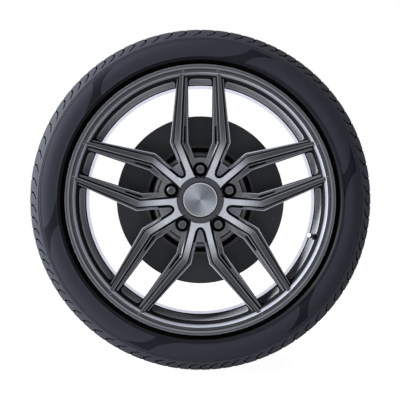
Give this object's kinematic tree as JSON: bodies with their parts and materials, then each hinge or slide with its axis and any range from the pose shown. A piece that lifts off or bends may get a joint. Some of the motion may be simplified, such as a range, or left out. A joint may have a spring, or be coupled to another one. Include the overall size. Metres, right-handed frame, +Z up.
{
  "type": "car wheel with tyre, brake disc and hub",
  "caption": "Low-profile car tyre on a double-spoke alloy wheel, bolted with its vented brake disc to a driven hub bearing that spins it.",
  "frame": {"origin": "centre of the wheel on the rim's middle plane, where the bearing meets the knuckle", "axes": "Y is the spin axis with the outboard face towards -Y and the knuckle towards +Y; Z is up and the valve is at 108 degrees clockwise from the top seen from outboard"},
  "size_m": [0.726, 0.275, 0.7258],
  "materials": {
    "tyre_rubber": "satin",
    "gunmetal_alloy": "satin",
    "cap_metal": "brushed",
    "cap_shell": "satin",
    "spring_steel": "plain",
    "bolt_steel": "satin",
    "dark_steel": "satin",
    "valve_metal": "satin",
    "black_rubber": "matte",
    "brass": "satin",
    "sensor_plastic": "matte",
    "disc_iron": "machined",
    "hub_steel": "machined",
    "bearing_steel": "ground",
    "cage_plastic": "satin"
  },
  "bodies": {
    "carrier": {"bearing_outer_ring": "hub_steel", "outboard_seal": "black_rubber", "inboard_seal": "black_rubber"},
    "wheel": {"tyre": "tyre_rubber", "alloy_wheel": "gunmetal_alloy", "centre_cap": "cap_shell", "cap_plate": "cap_metal", "cap_spring_ring": "spring_steel", "wheel_bolts": "bolt_steel", "bolt_collars": "dark_steel", "valve_stem": "valve_metal", "valve_grommet": "black_rubber", "valve_nut": "dark_steel", "valve_core": "brass", "valve_cap": "valve_metal", "pressure_sensor": "sensor_plastic", "sensor_screw": "bolt_steel", "brake_disc": "disc_iron", "disc_screws": "bolt_steel", "hub_flange": "hub_steel", "bearing_inner_ring": "bearing_steel", "speed_ring": "sensor_plastic"},
    "outboard_ball_set": {"outboard_balls": "bearing_steel", "outboard_cage": "cage_plastic"},
    "inboard_ball_set": {"inboard_balls": "bearing_steel", "inboard_cage": "cage_plastic"}
  },
  "joints": [
    {"name": "wheel_spin", "type": "hinge", "parent": "carrier", "child": "wheel", "pos_m": [0, 0, 0], "axis": [0, 1, 0], "continuous": true},
    {"name": "outboard_balls_spin", "type": "hinge", "parent": "carrier", "child": "outboard_ball_set", "pos_m": [0, -0.031, 0], "axis": [0, 1, 0], "continuous": true},
    {"name": "inboard_balls_spin", "type": "hinge", "parent": "carrier", "child": "inboard_ball_set", "pos_m": [0, -0.001, 0], "axis": [0, 1, 0], "continuous": true}
  ],
  "couplings": [
    {"joint": "outboard_balls_spin", "follows": "wheel_spin", "ratio": 0.4343},
    {"joint": "inboard_balls_spin", "follows": "wheel_spin", "ratio": 0.4343}
  ]
}
